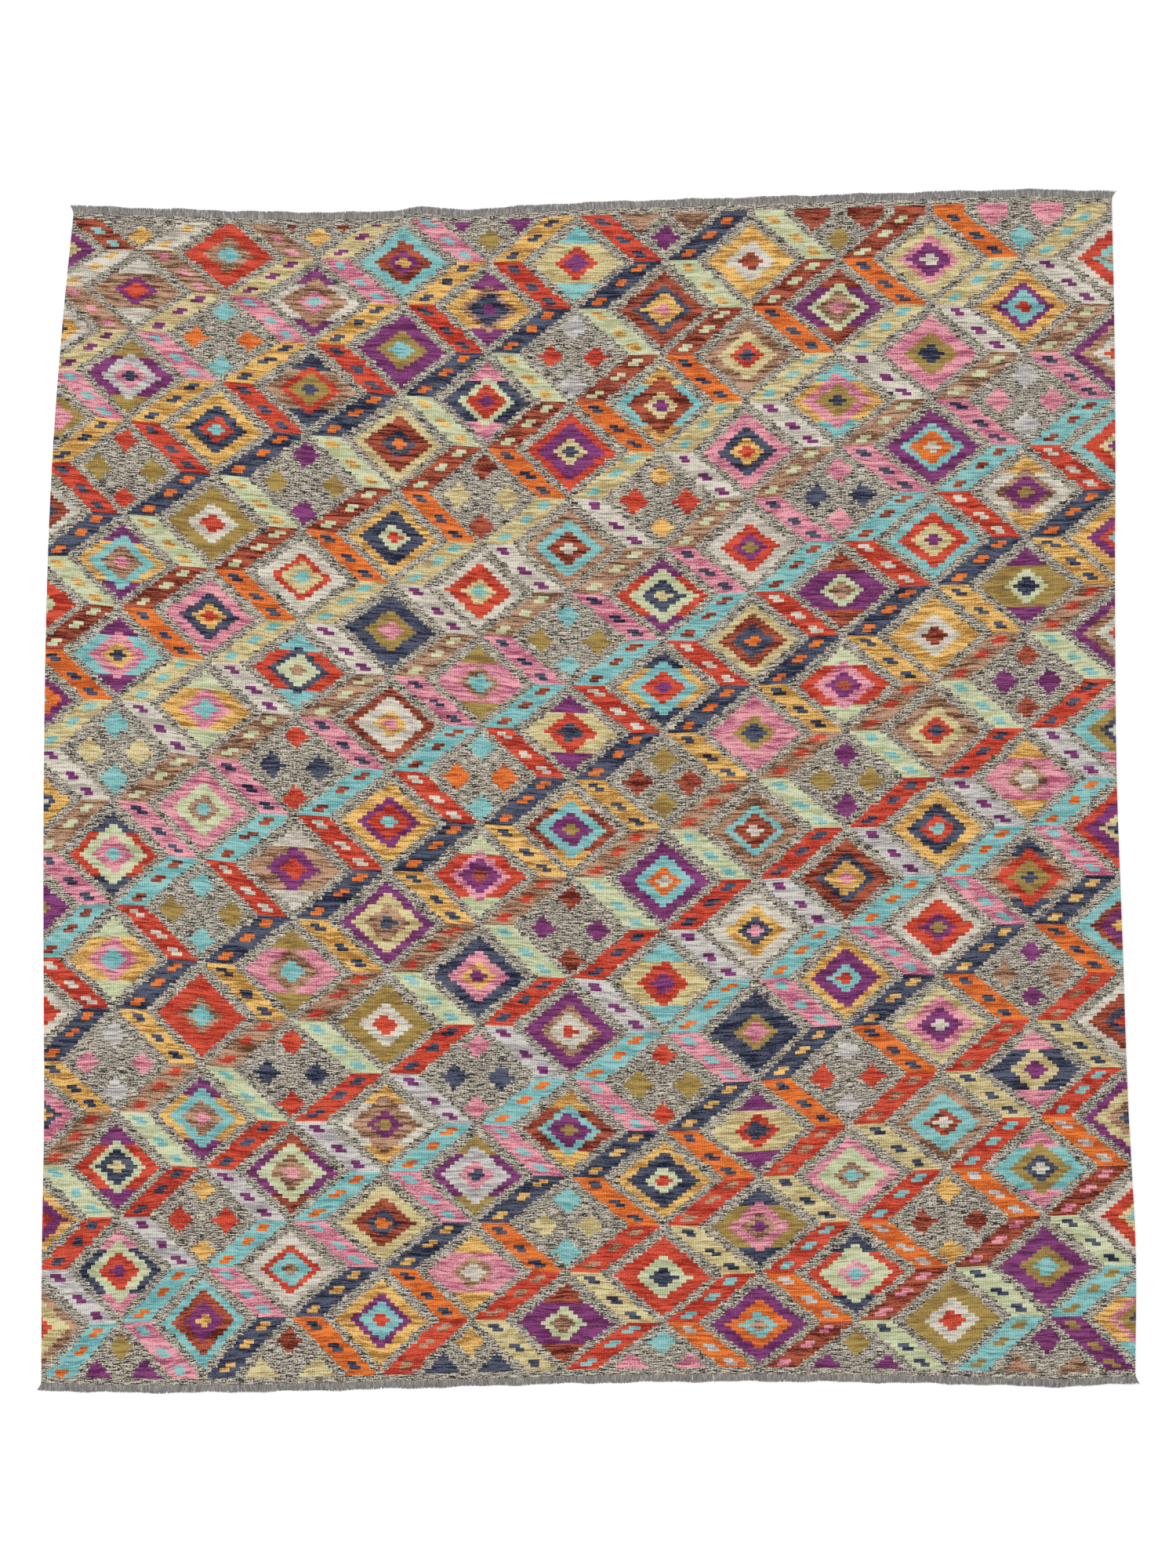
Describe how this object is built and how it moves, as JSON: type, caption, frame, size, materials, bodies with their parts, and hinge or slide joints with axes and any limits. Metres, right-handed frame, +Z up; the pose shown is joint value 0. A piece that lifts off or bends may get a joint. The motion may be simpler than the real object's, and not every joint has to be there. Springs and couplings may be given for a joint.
{
  "type": "kilim rug",
  "caption": "Flat-woven wool kilim lying flat: a nearly rectangular slit-woven field with stepped medallions and a short cut fringe along both ends.",
  "frame": {"origin": "on the floor, under the middle of the box around the whole rug", "axes": "+Z up from the floor, +Y along the warps towards the far fringe, +X across the rug along the wefts"},
  "size_m": [2.5356, 2.8258, 0.004],
  "materials": {
    "woven_wool": "matt weft-faced wool in many dyed and marled yarns",
    "warp_ends": "matt cut ends of twisted grey warp yarn"
  },
  "bodies": {
    "root": {"kilim_field": "woven_wool", "fringe_near": "warp_ends", "fringe_far": "warp_ends"}
  },
  "joints": []
}
